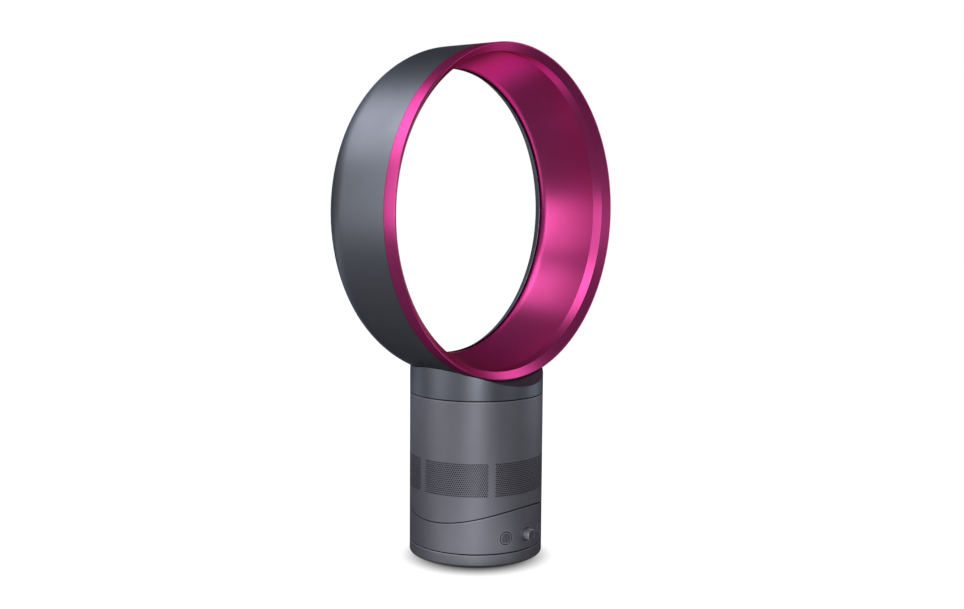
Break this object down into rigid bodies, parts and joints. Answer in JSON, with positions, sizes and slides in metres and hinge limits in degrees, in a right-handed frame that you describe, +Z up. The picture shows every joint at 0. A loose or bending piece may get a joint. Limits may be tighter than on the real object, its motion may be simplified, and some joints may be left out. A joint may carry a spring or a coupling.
{
  "type": "bladeless fan",
  "caption": "Desk fan with an open ring nozzle on a round base: tilts, swings side to side, with push buttons, a dial and an inner impeller.",
  "frame": {"origin": "centre of the foot's underside, on the surface the fan stands on", "axes": "+Z up, -Y is the front that the air leaves from, +X is to the right seen from the front's viewer with the ring's axis along Y"},
  "size_m": [0.354, 0.1533, 0.547],
  "materials": {
    "casing_grey": "satin metallic grey",
    "nozzle_grey": "satin metallic blue-grey",
    "nozzle_magenta": "satin metallic magenta",
    "control_grey": "fine matt",
    "black_rubber": "matt",
    "inner_plastic": "moulded",
    "white_plastic": "moulded acetal",
    "steel": "plated",
    "board_green": "lacquered board",
    "foam": "open-cell foam"
  },
  "bodies": {
    "foot": {"foot_base": "casing_grey", "rubber_mat": "black_rubber", "oscillation_gear": "white_plastic", "gear_screws": "steel", "glide_ring": "white_plastic", "cable_grommet": "black_rubber"},
    "lower_body": {"turntable_plate": "inner_plastic", "retaining_clip": "steel", "lower_casing": "casing_grey", "casing_screws": "steel", "cradle_plate": "inner_plastic", "oscillation_motor": "steel", "motor_screws": "steel", "main_board": "board_green", "control_board": "board_green", "tact_switches": "inner_plastic", "speed_potentiometer": "steel"},
    "drive_gear": {"drive_pinion": "white_plastic"},
    "power_key": {"power_button": "control_grey"},
    "oscillation_key": {"oscillation_button": "control_grey"},
    "dial": {"speed_dial": "control_grey"},
    "fan_body": {"body_casing": "casing_grey", "intake_grille": "casing_grey", "body_floor": "inner_plastic", "tilt_keeper": "steel", "keeper_screws": "steel", "acoustic_foam": "foam", "mount_gasket": "black_rubber", "impeller_shroud": "inner_plastic", "vane_ring": "inner_plastic", "motor_bucket": "inner_plastic", "motor_stator": "steel", "motor_bearings": "steel", "neck_seal": "black_rubber", "nozzle_collar": "nozzle_grey", "nozzle_shell": "nozzle_grey", "nozzle_inner_ring": "nozzle_magenta", "front_seal": "black_rubber", "slot_spacers": "nozzle_grey"},
    "rotor": {"motor_rotor": "steel", "impeller": "white_plastic"}
  },
  "joints": [
    {"name": "oscillation", "type": "hinge", "parent": "foot", "child": "lower_body", "pos_m": [0, 0, 0.0145], "axis": [0, 0, 1], "range_deg": [-45, 45]},
    {"name": "pinion_spin", "type": "hinge", "parent": "lower_body", "child": "drive_gear", "pos_m": [0, 0.04, 0.0085], "axis": [0, 0, 1], "range_deg": [-140, 140]},
    {"name": "power_press", "type": "slide", "parent": "lower_body", "child": "power_key", "axis": [0.3843, 0.9232, 0], "range_m": [0, 0.0008], "stiffness_N_per_m": 2000},
    {"name": "oscillation_press", "type": "slide", "parent": "lower_body", "child": "oscillation_key", "axis": [-0.3843, 0.9232, 0], "range_m": [0, 0.0008], "stiffness_N_per_m": 2000},
    {"name": "dial_turn", "type": "hinge", "parent": "lower_body", "child": "dial", "pos_m": [0, -0.07, 0.0302], "axis": [0, -1, 0], "range_deg": [-135, 135]},
    {"name": "tilt", "type": "hinge", "parent": "lower_body", "child": "fan_body", "pos_m": [0, 0, 0.2226], "axis": [1, 0, 0], "range_deg": [-10, 10]},
    {"name": "impeller_spin", "type": "hinge", "parent": "fan_body", "child": "rotor", "pos_m": [0, 0, 0.12], "axis": [0, 0, 1], "continuous": true}
  ],
  "couplings": [
    {"joint": "pinion_spin", "follows": "oscillation", "ratio": 3}
  ]
}
